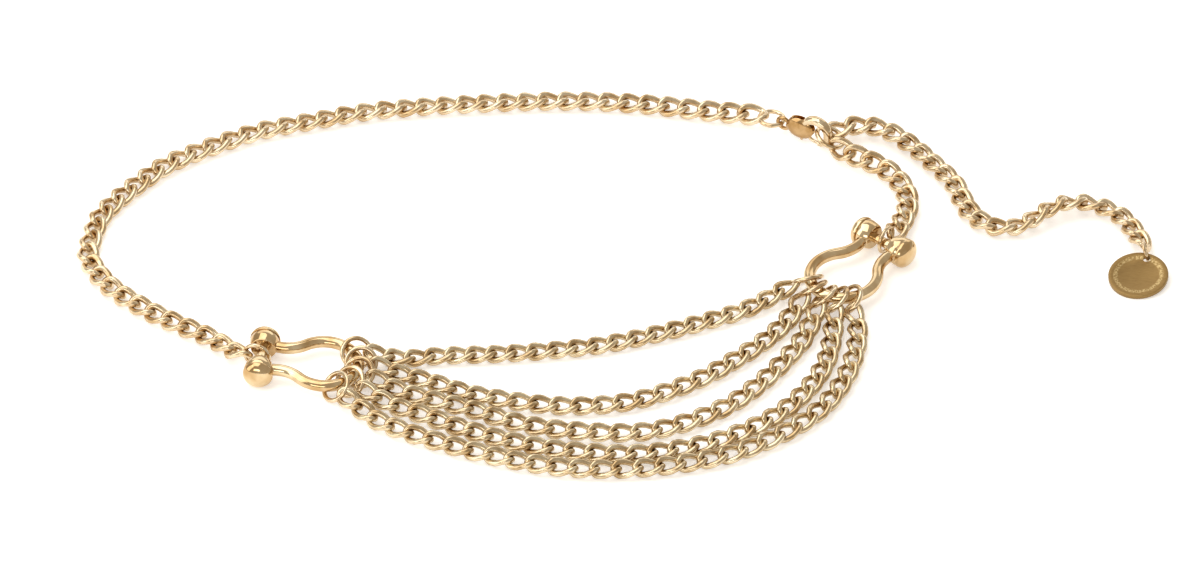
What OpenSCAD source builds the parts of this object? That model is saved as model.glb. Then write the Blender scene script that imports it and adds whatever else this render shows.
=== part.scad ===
// Waist chain: a curb chain that runs round the waist, two bow shackles at the hips,
// five finer strands hung between them, a lobster clasp and a tail with a round tag.
// It lies on a table, whose top is z = 0, with the middle of the waist loop over the
// origin. The strands lie towards -Y and the clasp towards +X +Y.

/* [Main chain] */
// Length of one link of the main chain, outside
link_length = 12.2; // [12:0.1:12.6]
// Width of one link of the main chain, outside
link_width = 8.3; // [8.1:0.1:8.8]
// Thickness of its wire
link_wire = 2; // [1.6:0.1:2.1]
// Tilt of a link's two ends against its middle, which makes the chain lie flat
link_tilt = 46; // [44:1:50]
// Distance from one link to the next
link_pitch = 7.4; // [7.2:0.1:7.6]

/* [Strands] */
// Length of one link of a strand, outside
strand_length = 11.2; // [10.9:0.1:12]
// Width of one link of a strand, outside
strand_width = 7; // [6.8:0.1:7.6]
// Thickness of its wire
strand_wire = 1.2; // [0.9:0.1:1.3]
// Lean of the strand's links, to one side and the other in turn
strand_lean = 40; // [38:1:45]
// Distance from one link to the next
strand_pitch = 7.7; // [7.5:0.1:7.9]

/* [Shackles] */
// Thickness of the bow's wire
bow_wire = 4.4; // [3.6:0.1:4.8]
// Width of the bow, outside
bow_width = 29.2; // [27:0.2:32]
// Length from the middle of the pin to the far side of the bow
bow_length = 37.8; // [36:0.2:41]
// Width of the neck between the bow's two wires, middle to middle
neck_width = 12.6; // [12:0.2:13.4]
// Radius of the curve from the neck to the bow
shoulder_r = 12; // [10:0.5:14]
// Room between the two lugs
lug_gap = 8.6; // [8.2:0.1:9]
// Thickness of a lug along the pin
lug_thick = 5.2; // [4.8:0.1:6]
// Diameter of a lug
lug_d = 9.2; // [8.6:0.1:10]
// Diameter of the domed knob outside each lug
knob_d = 11.2; // [10.6:0.1:12.5]
// Height of the domed knob
knob_h = 3.9; // [3:0.1:5]
// Diameter of the pin
pin_d = 3.6; // [2.6:0.1:3.9]
// Clearance of the pin in its bores
pin_clearance = 0.05; // [0.03:0.01:0.1]

/* [Rings] */
// Middle diameter of the rings that carry the strands on the bows
bow_ring_d = 10.8; // [10.6:0.1:11]
// Thickness of their wire
bow_ring_wire = 1.4; // [1.1:0.1:1.5]
// Middle diameter of the ring round each shackle pin
end_ring_d = 9.4; // [9.1:0.1:9.5]
// Thickness of its wire
end_ring_wire = 1.5; // [1.2:0.1:1.6]
// Middle diameter of the ring between the chain and the clasp
clasp_ring_d = 9; // [8.8:0.1:9.4]
// Thickness of its wire
clasp_ring_wire = 1.4; // [1.2:0.1:1.5]
// Middle diameter of the ring that carries the tag
tag_ring_d = 7.4; // [7:0.1:8.4]
// Thickness of its wire
tag_ring_wire = 1.2; // [1:0.1:1.3]

/* [Clasp] */
// Diameter of the clasp's round hook, outside
hook_d = 12.6; // [12:0.1:13.4]
// Width of the hook's metal, seen from the side
hook_band = 2.1; // [1.8:0.1:2.2]
// Thickness of the clasp
clasp_thick = 3.2; // [3:0.1:3.4]
// Length from the eye to the middle of the hook
clasp_length = 14; // [13.4:0.1:15]
// Middle diameter of the eye at the clasp's end
eye_d = 4.6; // [4.4:0.1:5]
// Thickness of the eye's wire
eye_wire = 1.5; // [1.2:0.1:1.6]
// Diameter of the lever's rivet
rivet_d = 1.2; // [0.9:0.1:1.4]
// Clearance of the lever on its rivet
rivet_clearance = 0.06; // [0.03:0.01:0.1]
// Clearance round the lever's arm and eye
lever_clearance = 0.15; // [0.1:0.01:0.2]
// Thickness of the lever
lever_thick = 1.4; // [1.1:0.1:1.6]

// Middle diameter of the ring that the hook holds
held_ring_d = 10.4; // [10.2:0.1:10.8]
// Thickness of its wire
held_ring_wire = 1.5; // [1.3:0.1:1.6]

/* [Tag] */
// Diameter of the round tag
tag_d = 22; // [18:0.5:26]
// Thickness of the tag
tag_thick = 1.6; // [1.2:0.1:2.2]
// Width of the raised rim on each face
tag_rim = 1.6; // [1:0.1:2.5]
// Height of the raised rim
tag_rim_h = 0.3; // [0.2:0.05:0.5]
// Diameter of the hole for its ring
tag_hole = 2.8; // [2.6:0.1:3.4]
// Metal left between the hole and the edge
tag_edge = 1.2; // [1:0.1:1.8]

/* [Hidden] */
$fn = 48;
gold = [0.86, 0.68, 0.38];
pale_gold = [0.91, 0.78, 0.55];
gap = 0.35;

// Plain vector helpers
function unit(v) = v / norm(v);
function flat_dir(a) = [cos(a), sin(a), 0];
function heading(v) = atan2(v[1], v[0]);

// Shackle frames: the pin's middle, and the way that the bow points from it
pin_z = knob_d / 2;
bow_r = (bow_width - bow_wire) / 2;
bow_reach = bow_length - bow_wire / 2;
bow_end_z = bow_wire / 2 + bow_ring_wire + 1;
bow_drop = asin((pin_z - bow_end_z) / bow_reach);
bow_middle = bow_reach - bow_r;
left_pin_at = [-87, -47, pin_z];
left_heading = -8;
right_pin_at = [140, 17.5, pin_z];
right_heading = 231;

// Where the strands' rings sit round each bow, as angles from the bow's own axis
left_ring_angles = [37, 13, -12, -38, -64];
right_ring_angles = [-43, -19, 7, 28, 49];

// A point of a bow's plane, in the table's frame
function bow_point(pin, heading, x, y) = pin
    + flat_dir(heading) * x * cos(bow_drop) + flat_dir(heading + 90) * y
    - [0, 0, x * sin(bow_drop)];
// A ring's middle lies this far outside the bow's wire, at an angle from the bow's axis
ring_out = 1;
function bow_ring_at(pin, heading, a) =
    bow_point(pin, heading, bow_middle + (bow_r + ring_out) * cos(a), (bow_r + ring_out) * sin(a));
function left_ring_at(i) = bow_ring_at(left_pin_at, left_heading, left_ring_angles[i]);
function right_ring_at(i) = bow_ring_at(right_pin_at, right_heading, right_ring_angles[i]);
// The heading of such a ring, which turns part of the way towards its strand
function turned(from, to, by) = from + by * ((to - from + 900) % 360 - 180);
function left_ring_heading(i) = turned(left_heading + left_ring_angles[i],
    heading(strand_routes[i][0] - left_ring_at(i)), ring_turn);
function right_ring_heading(i) = turned(right_heading + right_ring_angles[i],
    heading(strand_routes[i][len(strand_routes[i]) - 1] - right_ring_at(i)), ring_turn);
ring_turn = 0.36;

// How far inside a ring the middle of a link's end wire lies
function seat(ring_d, ring_wire, wire) = ring_d / 2 - ring_wire / 2 - wire / 2 - gap;

// Clasp frame: it stands on its edge, and this is the middle of its eye
clasp_heading = -30;
clasp_z = hook_d / 2 + 0.5;
eye_at = [103.5, 85.6, 4.8];
hook_at = eye_at + flat_dir(clasp_heading) * clasp_length + [0, 0, clasp_z - eye_at[2]];
clasp_pitch = atan((clasp_z - eye_at[2]) / clasp_length);
hook_r = (hook_d - hook_band) / 2;
// The ring that the hook holds, which leans across the hook's end
held_at = hook_at + flat_dir(clasp_heading + 4.2) * (hook_r + 0.22) - [0, 0, 0.87];
held_heading = 43.6;
held_lean = 17.4;
held_dip = 15.9;
held_seat = seat(held_ring_d, held_ring_wire, link_wire) - 0.1;
side_end = held_at + flat_dir(-80) * held_seat - [0, 0, 0.79];
tail_start = held_at + flat_dir(92) * held_seat - [0, 0, 1.09];
clasp_ring_lean = 150;
clasp_ring_at = eye_at - flat_dir(clasp_heading)
    * (seat(clasp_ring_d, clasp_ring_wire, eye_wire) + eye_d / 2);

// End rings on the shackle pins
end_ring_in = end_ring_d / 2 - end_ring_wire / 2 - pin_d / 2 - gap;
left_end_heading = left_heading - 12;
right_end_heading = right_heading + 8;
left_end_ring_at = left_pin_at - flat_dir(left_end_heading) * end_ring_in;
right_end_ring_at = right_pin_at - flat_dir(right_end_heading) * end_ring_in;

// The tag hangs by its hole from its ring, and its far edge lies on the table
tag_hole_at = [236.12, 10.33, 3.22];
tag_heading = 68;
tag_reach = tag_d - tag_edge - tag_hole / 2;
tag_lift = asin((tag_hole_at[2] - tag_thick / 2 - 0.07) / tag_reach);
tag_at = tag_hole_at - (tag_reach - tag_d / 2)
    * (flat_dir(tag_heading) * cos(tag_lift) + [0, 0, sin(tag_lift)]);
tag_ring_heading = 98;
tag_ring_at = tag_hole_at + flat_dir(tag_ring_heading) * (tag_ring_d / 2 - 0.1) + [0, 0, 1.08];

// Routes of the chains: a few points along each, as [x, y, z, roll]
main_route = [[-95.6, -43.2, 4.2, 15], [-101, -38, 3.2, 6], [-106.5, -33, 2.6, 0],
    [-113, -28.8, 2.6, 0], [-128, -18.5, 2.6, 0],
    [-142.5, -4.5, 2.6, 0], [-150, 11, 2.6, 0], [-149, 23, 2.6, 0], [-143.5, 39, 2.6, 0],
    [-124, 62, 2.6, 0], [-106, 74, 2.6, 0], [-88, 83, 2.6, 0], [-69.5, 88.5, 2.6, 0],
    [-46, 94.5, 2.6, 0], [-15, 98, 2.6, 0], [22, 100, 2.6, 0], [50, 98.5, 2.6, 0],
    [77, 93.6, 3.2, 13]];
side_route = [[145.5, 27.5, 3.8, 16], [148.5, 39, 2.6, 0], [148.5, 46, 2.6, 0],
    [146.5, 52.5, 2.8, -8], [142.6, 58.4, 3.4, -26], [137.3, 62.4, 4.3, -56],
    [131, 65.8, 4.8, -87], [124.7, 69.8, 5.1, -115]];
tail_route = [[124.7, 82.1, 4.7, -15], [131.4, 84.2, 4.4, -22], [138.4, 83.1, 4, -25],
    [145, 79.2, 3.6, -23], [151, 73.4, 3.1, -15], [157, 66, 2.7, -7],
    [165, 54.5, 2.6, 0], [168.5, 45, 2.6, 0], [172.5, 36, 2.6, 0], [180, 29.5, 2.6, 0],
    [190, 29.8, 2.7, -4], [197, 34.6, 4, -45], [204, 39.2, 4.8, -90], [211.5, 41, 4.2, -132],
    [217, 40.6, 3.4, -160], [222.5, 38.2, 2.7, -178], [228, 33, 2.6, -180], [232, 25, 2.9, -186]];
strand_routes = [
    [[-36, -44.4, 3.2, 0], [-20, -43, 2.9, 0], [0, -42, 2.9, 0], [19, -40, 2.9, 0],
        [37, -37, 2.9, 0], [55, -31.5, 2.9, 0], [73, -24.5, 2.9, 0], [91, -16, 2.9, 0]],
    [[-37, -53.5, 3.2, 0], [-26, -58, 2.9, 0], [-9, -65.5, 2.9, 0], [16, -71, 2.9, 0],
        [33, -71.5, 2.9, 0], [48, -69, 2.9, 0], [62, -63, 2.9, 0], [75, -55, 2.9, 0],
        [86, -45.5, 2.9, 0], [97, -34.5, 2.9, 0], [105, -23, 2.9, 0]],
    [[-37, -63, 3.2, 0], [-27, -67.5, 2.9, 0], [-11, -73.5, 2.9, 0], [4, -80.5, 2.9, 0],
        [21, -85, 2.9, 0], [43, -87, 2.9, 0], [58, -85, 2.9, 0], [72, -79, 2.9, 0],
        [85, -70, 2.9, 0], [95, -59, 2.9, 0], [104, -46, 2.9, 0], [111, -33, 2.9, 0]],
    [[-40, -71, 3.2, 0], [-29, -76.5, 2.9, 0], [-15, -84, 2.9, 0], [0, -90.5, 2.9, 0],
        [15, -95, 2.9, 0], [31, -98, 2.9, 0], [47, -99, 2.9, 0], [62, -97, 2.9, 0],
        [77, -92.5, 2.9, 0], [90, -85.5, 2.9, 0], [102, -76, 2.9, 0], [111, -64.5, 2.9, 0],
        [118, -50, 2.9, 0], [121, -35, 2.9, 0]],
    [[-46, -79, 3.2, 0], [-37, -85, 2.9, 0], [-24, -91.5, 2.9, 0], [-8, -98, 2.9, 0],
        [7, -103, 2.9, 0], [23, -106.5, 2.9, 0], [39, -107.5, 2.9, 0], [54, -106.5, 2.9, 0],
        [70, -103.5, 2.9, 0], [85, -98.5, 2.9, 0], [98, -91, 2.9, 0], [110, -81.5, 2.9, 0],
        [119.5, -70, 2.9, 0], [126, -56, 2.9, 0], [129.5, -42, 2.9, 0], [130.5, -29, 2.9, 0]]];

// A smooth curve through a route's points, as many points along it
steps = 8;
function curve(p) = [for (i = [0:len(p) - 2], k = [0:steps - 1])
    let (t = k / steps, a = p[max(i - 1, 0)], b = p[i], c = p[i + 1],
        d = p[min(i + 2, len(p) - 1)])
    (2 * b + (c - a) * t + (2 * a - 5 * b + 4 * c - d) * t * t
        + (3 * b - a - 3 * c + d) * t * t * t) / 2, p[len(p) - 1]];
function point3(v) = [v[0], v[1], v[2]];
// The length run so far at each point of a curve
function runs(q) = [for (i = 0, s = 0; i < len(q);
    s = s + (i + 1 < len(q) ? norm(point3(q[i + 1]) - point3(q[i])) : 0), i = i + 1) s];
function column(q, run, k) = [for (i = [0:len(q) - 1]) [run[i], q[i][k]]];

// The places of a chain's links along a curve, as [x, y, z, roll] with their directions.
// The first and last link's middle lies one half link in from the curve's ends.
function link_places(route, half, pitch, odd = false) =
    let (q = curve(route), run = runs(q), total = run[len(run) - 1] - 2 * half,
        count = odd ? 2 * round(total / pitch / 2 - 0.5) + 1 : ceil(total / pitch - 0.2),
        step = total / count,
        table = [for (k = [0:3]) column(q, run, k)])
    [for (i = [0:count])
        let (s = half + i * step,
            at = [for (k = [0:3]) lookup(s, table[k])],
            ahead = [for (k = [0:2]) lookup(s + step / 3, table[k])],
            behind = [for (k = [0:2]) lookup(s - step / 3, table[k])])
        [at, unit(ahead - behind)]];

// Puts a child, whose length runs along X and whose flat faces +Z, at a place
module put(place) {
    x = place[1];
    y = unit(cross([0, 0, 1], x));
    z = cross(x, y);
    multmatrix([for (k = [0:2]) [x[k], y[k], z[k], place[0][k]]])
        rotate([place[0][3], 0, 0]) children();
}

// One curb link: two straight sides and four round arcs in one smooth line, with its two
// ends tilted to opposite hands. Ten cuts across the wire, each with five corners.
corners = 5;
module curb_link(length, width, wire, tilt) {
    e = (length - wire) / 2;
    b = (width - wire) / 2;
    lean = atan(tan(tilt) * b / e);
    s = (e * cos(lean) - b * cos(tilt)) / (1 + sin(lean) * sin(tilt));
    start = [s * cos(lean), b, s * sin(lean)];
    along = [cos(lean), 0, sin(lean)];
    tip = [e, 0, 0];
    tip_dir = [0, -cos(tilt), -sin(tilt)];
    sweep = acos(-sin(lean) * sin(tilt));
    bend = norm(tip - start) / (2 * sin(sweep / 2));
    axis = unit(cross(along, tip_dir));
    centre = start + bend * cross(axis, along);
    spoke = unit(start - centre);
    part = 0.6 * sweep;
    mid = centre + bend * (spoke * cos(part) + cross(axis, spoke) * sin(part));
    mid_dir = cross(axis, spoke) * cos(part) - spoke * sin(part);
    right = [[start, along], [mid, mid_dir], [tip, tip_dir],
        [turn_x(mid), -turn_x(mid_dir)], [turn_x(start), -turn_x(along)]];
    cuts = concat(right, [for (c = right) [turn_z(c[0]), turn_z(c[1])]]);
    points = [for (c = cuts)
        let (out = unit(c[0] - c[1] * (c[0] * c[1])), side = cross(c[1], out))
        for (k = [0:corners - 1])
            let (turn = (k + 0.5) * 360 / corners)
            c[0] + wire / 2 * (out * cos(turn) + side * sin(turn))];
    n = len(cuts);
    faces = [for (i = [0:n - 1], k = [0:corners - 1])
        let (j = (i + 1) % n, m = (k + 1) % corners)
        for (f = [[i * corners + k, j * corners + m, i * corners + m],
            [i * corners + k, j * corners + k, j * corners + m]]) f];
    polyhedron(points, faces);
}
function turn_x(v) = [v[0], -v[1], -v[2]];
function turn_z(v) = [-v[0], -v[1], v[2]];

// One strand link: a flat oval of square wire
module oval(length, width) {
    reach = (length - width) / 2;
    square([2 * reach, width], center = true);
    for (side = [-1, 1])
        translate([side * reach, 0]) circle(d = width);
}
module oval_link(length, width, wire) {
    linear_extrude(wire, center = true)
        difference() {
            oval(length, width);
            oval(length - 2 * wire, width - 2 * wire);
        }
}

// A round wire ring, whose hole faces +Z
module ring(middle_d, wire) {
    rotate_extrude() translate([middle_d / 2, 0]) circle(d = wire);
}

// The heavy curb chain
half_link = (link_length - link_wire) / 2;
module curb_chain(route) {
    color(gold)
        for (place = link_places(route, half_link, link_pitch))
            put(place) curb_link(link_length, link_width, link_wire, link_tilt);
}
end_seat = seat(end_ring_d, end_ring_wire, link_wire);
function toward(from, to, by) = from + unit(point3(to) - from) * by;
function with_roll(v, roll) = [v[0], v[1], v[2], roll];
module main_chain() {
    clasp_seat = seat(clasp_ring_d, clasp_ring_wire, link_wire) - 0.1;
    curb_chain(concat(
        [with_roll(toward(left_end_ring_at, main_route[0], end_seat), 20)], main_route,
        [with_roll(clasp_ring_at - flat_dir(clasp_heading) * clasp_seat, 26)]));
}
module side_chain() {
    curb_chain(concat(
        [with_roll(toward(right_end_ring_at, side_route[0], end_seat), 20)], side_route,
        [with_roll(side_end, -118)]));
}
// The tail starts with the ring that the hook holds
module tail_chain() {
    tag_seat = seat(tag_ring_d, tag_ring_wire, link_wire) - 0.1;
    curb_chain(concat(
        [with_roll(tail_start, -13)], tail_route,
        [with_roll(tag_ring_at + flat_dir(tag_ring_heading) * tag_seat, -206)]));
    color(gold)
        translate(held_at) rotate([0, 0, held_heading]) rotate([held_lean, 0, 0])
            rotate([0, held_dip, 0]) ring(held_ring_d, held_ring_wire);
}

// One of the five finer strands, from its ring on the left bow to its ring on the right
module strand(i) {
    half = (strand_length - strand_wire) / 2;
    route = strand_routes[i];
    inside = seat(bow_ring_d, bow_ring_wire, strand_wire) - 0.2;
    first = left_ring_at(i) + flat_dir(left_ring_heading(i)) * inside;
    last = right_ring_at(i) + flat_dir(right_ring_heading(i)) * inside;
    places = link_places(concat([with_roll(first, 0)], route, [with_roll(last, 0)]),
        half, strand_pitch, true);
    color(pale_gold)
        for (k = [0:len(places) - 1])
            put(places[k]) rotate([k % 2 == 0 ? -strand_lean : strand_lean, 0, 0])
                oval_link(strand_length, strand_width, strand_wire);
}
module strand_1() { strand(0); }
module strand_2() { strand(1); }
module strand_3() { strand(2); }
module strand_4() { strand(3); }
module strand_5() { strand(4); }

// A shackle's own frame: its pin lies along Y through the origin, its bow towards +X
module shackle_frame(pin, heading) {
    translate(pin) rotate([0, 0, heading]) rotate([0, bow_drop, 0]) children();
}
// The outline of a lug and its dome, from the pin's axis outwards
lug_out = lug_gap / 2 + lug_thick;
module dome() {
    rise = 6;
    rotate([-90, 0, 0])
        rotate_extrude()
            polygon(concat([[0, 0], [knob_d / 2 - 0.4, 0]],
                [for (k = [0:rise]) let (a = 90 * k / rise)
                    [k == rise ? 0 : knob_d / 2 * cos(a), 0.4 + (knob_h - 0.4) * sin(a)]]));
}
// The middle of the bow's wire, from one lug round to the other: each place has its point
// and the way that the wire runs there
function bow_path() =
    let (a = 180 - asin((neck_width / 2 + shoulder_r) / (bow_r + shoulder_r)),
        shoulder = [bow_middle + (bow_r + shoulder_r) * cos(a), (bow_r + shoulder_r) * sin(a), 0],
        last = 270 - asin((shoulder[0] - 3) / shoulder_r),
        upper = [for (k = [1:5]) let (t = 180 + a + (last - 180 - a) * k / 5)
            [shoulder + shoulder_r * flat_dir(t), -flat_dir(t + 90)]],
        lower = [for (k = [4:-1:0]) [turn_x(upper[k][0]), -turn_x(upper[k][1])]],
        round = [for (k = [0:30]) let (t = a * (k / 15 - 1))
            [[bow_middle, 0, 0] + bow_r * flat_dir(t), flat_dir(t + 90)]])
    concat(lower, round, upper);
// A wire of round section along a path that lies flat, closed at both ends
wire_sides = 16;
module flat_wire(path, wire) {
    n = len(path);
    points = [for (c = path)
        let (out = cross([0, 0, 1], c[1]))
        for (k = [0:wire_sides - 1])
            let (turn = k * 360 / wire_sides)
            c[0] + wire / 2 * (out * cos(turn) + [0, 0, sin(turn)])];
    walls = [for (i = [0:n - 2], k = [0:wire_sides - 1])
        let (m = (k + 1) % wire_sides)
        for (f = [[i * wire_sides + k, (i + 1) * wire_sides + m, i * wire_sides + m],
            [i * wire_sides + k, (i + 1) * wire_sides + k, (i + 1) * wire_sides + m]]) f];
    ends = [[for (k = [0:wire_sides - 1]) k],
        [for (k = [wire_sides - 1:-1:0]) (n - 1) * wire_sides + k]];
    polyhedron(points, concat(walls, ends));
}
module bow() {
    color(gold)
        difference() {
            union() {
                flat_wire(bow_path(), bow_wire);
                for (side = [1, -1])
                    scale([1, side, 1])
                        translate([0, lug_gap / 2, 0]) rotate([-90, 0, 0])
                            cylinder(h = lug_thick, d = lug_d);
                translate([0, lug_out, 0]) dome();
            }
            translate([0, lug_gap / 2 + 3.8, 0]) rotate([90, 0, 0])
                cylinder(h = lug_out + lug_gap / 2 + 4, d = pin_d + 2 * pin_clearance);
        }
}
module pin() {
    far = lug_gap / 2 + 3.6;
    color(pale_gold)
        union() {
            translate([0, far, 0]) rotate([90, 0, 0])
                cylinder(h = far + lug_out + 0.3, d = pin_d);
            translate([0, -lug_out - pin_clearance, 0]) rotate([180, 0, 0]) dome();
        }
}
module left_bow() { shackle_frame(left_pin_at, left_heading) bow(); }
module left_pin() { shackle_frame(left_pin_at, left_heading) pin(); }
module right_bow() { shackle_frame(right_pin_at, right_heading) bow(); }
module right_pin() { shackle_frame(right_pin_at, right_heading) pin(); }

// Rings: one round each pin, which stands upright, and five on each bow, which lean
module upright_ring(at, heading, middle_d, wire) {
    color(pale_gold) translate(at) rotate([90, 0, heading]) ring(middle_d, wire);
}
module left_end_ring() {
    upright_ring(left_end_ring_at, left_end_heading, end_ring_d, end_ring_wire);
}
module right_end_ring() {
    upright_ring(right_end_ring_at, right_end_heading, end_ring_d, end_ring_wire);
}
ring_lean = 44;
module bow_ring(at, heading) {
    color(pale_gold)
        translate(at) rotate([0, 0, heading]) rotate([ring_lean, 0, 0])
            ring(bow_ring_d, bow_ring_wire);
}
module left_rings() {
    for (i = [0:4]) bow_ring(left_ring_at(i), left_ring_heading(i));
}
module right_rings() {
    for (i = [0:4]) bow_ring(right_ring_at(i), right_ring_heading(i));
}
module clasp_ring() {
    color(pale_gold)
        translate(clasp_ring_at) rotate([0, 0, clasp_heading]) rotate([clasp_ring_lean, 0, 0])
            ring(clasp_ring_d, clasp_ring_wire);
}
module tag_ring() {
    color(pale_gold)
        translate(tag_ring_at) rotate([0, 0, tag_ring_heading]) rotate([75, 0, 0])
            ring(tag_ring_d, tag_ring_wire);
}

// The clasp's own frame: X from the eye to the hook, Y up across it, Z through it
module clasp_frame() {
    translate(eye_at) rotate([0, -clasp_pitch, clasp_heading]) rotate([90, 0, 0]) children();
}
hook_x = sqrt(pow(clasp_length, 2) + pow(clasp_z - eye_at[2], 2));
pivot_at = [hook_x - hook_r - 0.6, -2.7];
gate_from = 222;
gate_to = 270;
lever_eye = rivet_d / 2 + 0.75;
// How far the lever swings in, in degrees, and how far its tip is from its rivet
lever_open = 22;
lever_end = [hook_x, 0] + (hook_r + 0.6) * [cos(gate_to - 3), sin(gate_to - 3)];
lever_reach = norm(lever_end - pivot_at);
module sector(r, from, to) {
    polygon(concat([[0, 0]], [for (k = [0:8]) let (a = from + (to - from) * k / 8)
        r * [cos(a), sin(a)]]));
}
module hook_outline() {
    difference() {
        union() {
            translate([hook_x, 0]) circle(d = hook_d);
            polygon([[eye_d / 2, 1.7], [eye_d / 2, -1.7], [pivot_at[0] - 1, -4.6],
                [pivot_at[0] + 0.8, -4.8], [hook_x - 2, 0], [hook_x - 1, hook_d / 2 - 0.1],
                [hook_x - hook_r + 1, hook_d / 2 - 1.1]]);
        }
        translate([hook_x, 0]) circle(d = hook_d - 2 * hook_band);
        translate([hook_x, 0]) sector(hook_d, gate_from, gate_to);
        translate(pivot_at) swing_path();
    }
}
// The way of the lever's tip past the end of the hook
module swing_path() {
    from = heading(lever_end - pivot_at) - 2;
    outer = lever_reach + lever_clearance;
    polygon(concat([for (k = [0:6]) let (a = from + (lever_open + 6) * k / 6)
        outer * [cos(a), sin(a)]], [4 * [cos(from + lever_open), sin(from + lever_open)],
        4 * [cos(from), sin(from)]]));
}
// Room in the middle of the body for the lever's eye, its arm and its thumb tab
module lever_room() {
    slot = lever_thick + 2 * lever_clearance;
    translate([pivot_at[0], pivot_at[1], 0])
        linear_extrude(slot, center = true)
            union() {
                circle(lever_eye + lever_clearance);
                sector(5, -175, lever_open + 18);
            }
}
module clasp_body() {
    color(gold)
        clasp_frame()
            union() {
                difference() {
                    linear_extrude(clasp_thick, center = true) hook_outline();
                    lever_room();
                }
                translate([pivot_at[0], pivot_at[1], 0])
                    cylinder(h = clasp_thick, d = rivet_d, center = true);
                ring(eye_d, eye_wire);
            }
}
// The lever: a curved arm that closes the hook, and a tab for the thumb behind its rivet
module clasp_lever() {
    arm = [for (k = [0:8]) let (a = gate_from + (gate_to - 3 - gate_from) * k / 8)
        [hook_x, 0] + (hook_r + 0.6) * [cos(a), sin(a)]];
    back = [for (k = [8:-1:2]) let (a = gate_from + (gate_to - 3 - gate_from) * k / 8)
        [hook_x, 0] + (hook_r - 0.7) * [cos(a), sin(a)]];
    color(pale_gold)
        clasp_frame()
            linear_extrude(lever_thick, center = true)
                difference() {
                    union() {
                        translate(pivot_at) circle(lever_eye);
                        polygon(concat([pivot_at + [-0.9, -0.9]], arm, back,
                            [pivot_at + [0.7, 1]]));
                        polygon([pivot_at + [-1, 0], pivot_at + [-1.9, -2.6],
                            pivot_at + [-0.9, -2.9], pivot_at + [0.6, -1]]);
                    }
                    translate(pivot_at) circle(d = rivet_d + 2 * rivet_clearance);
                }
}

// The round tag, bare inside its raised rims
module tag() {
    color(gold)
        translate(tag_at) rotate([0, 0, tag_heading]) rotate([0, -tag_lift, 0])
            difference() {
                cylinder(h = tag_thick, d = tag_d, center = true);
                for (side = [-1, 1])
                    translate([0, 0, side * tag_thick / 2])
                        cylinder(h = 2 * tag_rim_h, d = tag_d - 2 * tag_rim, center = true);
                translate([tag_d / 2 - tag_edge - tag_hole / 2, 0, 0])
                    cylinder(h = 2 * tag_thick, d = tag_hole, center = true);
            }
}

main_chain();
side_chain();
tail_chain();
strand_1();
strand_2();
strand_3();
strand_4();
strand_5();
left_bow();
left_pin();
left_end_ring();
left_rings();
right_bow();
right_pin();
right_end_ring();
right_rings();
clasp_ring();
clasp_body();
clasp_lever();
tag_ring();
tag();
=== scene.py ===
"""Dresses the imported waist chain: curb chains, shackles, rings, clasp and tag in gold plate."""

from __future__ import annotations

import logging
import math
from contextlib import contextmanager
from dataclasses import dataclass
from enum import Enum
from typing import Callable, Iterable, Iterator, Sequence

import bmesh
import bpy
import numpy as np
from mathutils import Matrix, Vector

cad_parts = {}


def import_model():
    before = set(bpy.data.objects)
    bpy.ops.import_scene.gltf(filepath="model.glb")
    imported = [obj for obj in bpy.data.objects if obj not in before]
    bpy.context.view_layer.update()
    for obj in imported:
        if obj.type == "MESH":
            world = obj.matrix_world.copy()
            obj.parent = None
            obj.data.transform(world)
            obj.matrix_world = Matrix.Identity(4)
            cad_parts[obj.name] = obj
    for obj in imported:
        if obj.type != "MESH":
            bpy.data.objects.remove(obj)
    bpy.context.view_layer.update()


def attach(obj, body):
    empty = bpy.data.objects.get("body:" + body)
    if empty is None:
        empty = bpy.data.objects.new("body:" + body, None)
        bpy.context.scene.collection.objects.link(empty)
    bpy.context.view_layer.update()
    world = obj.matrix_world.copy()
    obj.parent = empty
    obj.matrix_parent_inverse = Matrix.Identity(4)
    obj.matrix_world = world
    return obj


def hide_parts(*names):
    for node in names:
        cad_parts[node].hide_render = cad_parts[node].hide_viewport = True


MM = 0.001
# Free play between two wires that hang in each other, in millimetres
PLAY = 0.35
# Points this near a plane count as on it, in millimetres
ON_PLANE = 0.01
LOG = logging.getLogger("waist_chain")
Point = tuple[float, float, float, float]


class Body(Enum):
    """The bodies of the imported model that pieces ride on."""

    CHAIN = "chain"
    LEVER = "lever"


class Axis(Enum):
    """The three axes, as unit vectors."""

    X = (1.0, 0.0, 0.0)
    Y = (0.0, 1.0, 0.0)
    Z = (0.0, 0.0, 1.0)


# Placing


def heading(angle: float) -> Vector:
    """The flat direction at an angle from +X, in degrees."""
    return Vector((math.cos(math.radians(angle)), math.sin(math.radians(angle)), 0.0))


def heading_of(v: Vector) -> float:
    """The angle of a vector seen from above, in degrees."""
    return math.degrees(math.atan2(v.y, v.x))


def turn(angle: float, axis: Axis) -> Matrix:
    """A turn about one axis, in degrees."""
    return Matrix.Rotation(math.radians(angle), 4, Vector(axis.value))


def shift(x: float, y: float, z: float) -> Matrix:
    """A move, in millimetres."""
    return Matrix.Translation((x, y, z))


def ring_place(middle: Vector, facing: float, lean: float, seam: float) -> Matrix:
    """The place of a ring that faces one way, leans about it and has its seam at an angle."""
    return (
        Matrix.Translation(middle) @ turn(facing, Axis.Z) @ turn(lean, Axis.X)
        @ turn(seam, Axis.Z)
    )


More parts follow.
